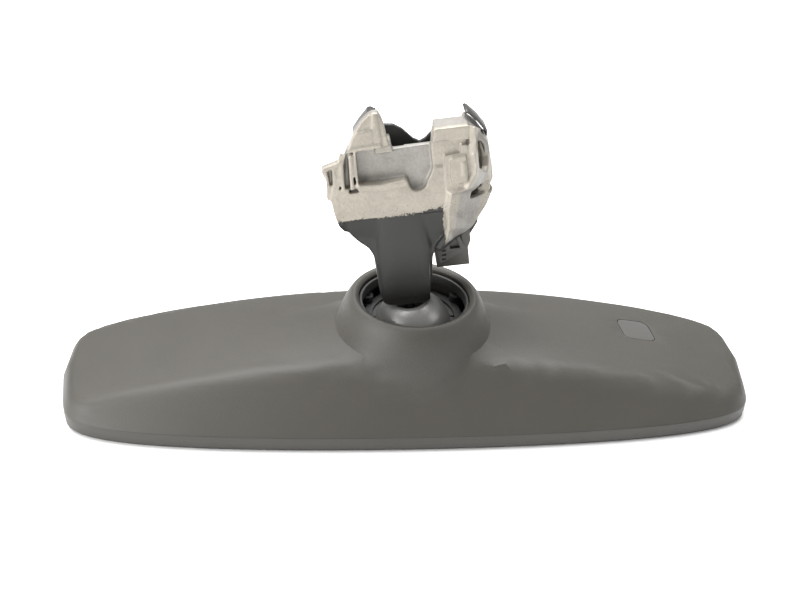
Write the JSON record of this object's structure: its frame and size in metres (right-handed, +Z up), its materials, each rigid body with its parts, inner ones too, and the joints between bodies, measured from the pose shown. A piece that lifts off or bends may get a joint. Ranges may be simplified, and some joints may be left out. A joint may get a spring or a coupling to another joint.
{
  "type": "interior rearview mirror",
  "caption": "Car interior rearview mirror, glass down: long matt housing, clamped ball joint and a die-cast arm whose foot snaps onto a windscreen bracket.",
  "frame": {"origin": "centre of the face of the bezel lip, on the surface that the mirror lies on", "axes": "+X along the head to the side of the sensor window, +Z up, away from the glass, -Y towards the sloping wall of the housing"},
  "size_m": [0.247, 0.074, 0.1086],
  "materials": {
    "housing_plastic": "matt, fine grain",
    "bezel_plastic": "matt, fine grain",
    "clear_glass": "polished",
    "seal_rubber": "satin",
    "mirror_coating": "silvered",
    "foam": "matt",
    "carrier_plastic": "matt",
    "screw_steel": "zinc plated",
    "board_laminate": "satin",
    "chip_plastic": "matt",
    "socket_plastic": "satin",
    "clear_plastic": "clear",
    "window_plastic": "glossy, tinted",
    "cast_zinc": "as cast",
    "ring_plastic": "matt",
    "loom_sheath": "satin",
    "cup_plastic": "satin",
    "ball_metal": "satin, machined",
    "painted_casting": "as cast, dark paint on the stem fading to bare metal",
    "cover_plastic": "satin",
    "connector_plastic": "satin",
    "pin_metal": "tinned",
    "clip_steel": "dark, oiled"
  },
  "bodies": {
    "head": {"rear_housing": "housing_plastic", "front_bezel": "bezel_plastic", "front_glass": "clear_glass", "cell_seal": "seal_rubber", "mirror_glass": "mirror_coating", "foam_pad": "foam", "glass_carrier": "carrier_plastic", "housing_screws": "screw_steel", "circuit_board": "board_laminate", "board_chips": "chip_plastic", "board_screws": "screw_steel", "board_socket": "socket_plastic", "ambient_sensor": "chip_plastic", "light_guide": "clear_plastic", "sensor_window": "window_plastic", "glare_sensor": "chip_plastic", "socket_base": "cast_zinc", "socket_screws": "screw_steel", "clamp_plate": "cast_zinc", "clamp_screws": "screw_steel", "spring_washers": "screw_steel", "collar_ring": "ring_plastic", "head_loom": "loom_sheath"},
    "cup": {"friction_cup": "cup_plastic"},
    "ball": {"pivot_ball": "ball_metal"},
    "arm": {"arm_casting": "painted_casting", "spigot_nut": "screw_steel", "rear_cover": "cover_plastic", "cover_screws": "screw_steel", "side_panel": "cover_plastic", "connector_shell": "connector_plastic", "connector_pins": "pin_metal", "arm_loom": "loom_sheath"},
    "clip_left": {"spring_clip_left": "clip_steel"},
    "clip_right": {"spring_clip_right": "clip_steel"}
  },
  "joints": [
    {"name": "head_nod", "type": "hinge", "parent": "head", "child": "cup", "pos_m": [0, 0, 0.025], "axis": [1, 0, 0], "range_deg": [-10, 10]},
    {"name": "head_tilt", "type": "hinge", "parent": "cup", "child": "ball", "pos_m": [0, 0, 0.025], "axis": [0, 1, 0], "range_deg": [-8, 12]},
    {"name": "arm_swivel", "type": "hinge", "parent": "ball", "child": "arm", "pos_m": [0, 0, 0.025], "axis": [-0.1219, 0, 0.9925], "range_deg": [-20, 20]},
    {"name": "clip_left_flex", "type": "hinge", "parent": "arm", "child": "clip_left", "pos_m": [-0.02186, 0, 0.09848], "axis": [0, 1, 0], "range_deg": [0, 5], "stiffness_Nm_per_rad": 2},
    {"name": "clip_right_flex", "type": "hinge", "parent": "arm", "child": "clip_right", "pos_m": [0.01886, 0.001, 0.09673], "axis": [0, -1, 0], "range_deg": [0, 5], "stiffness_Nm_per_rad": 2}
  ]
}
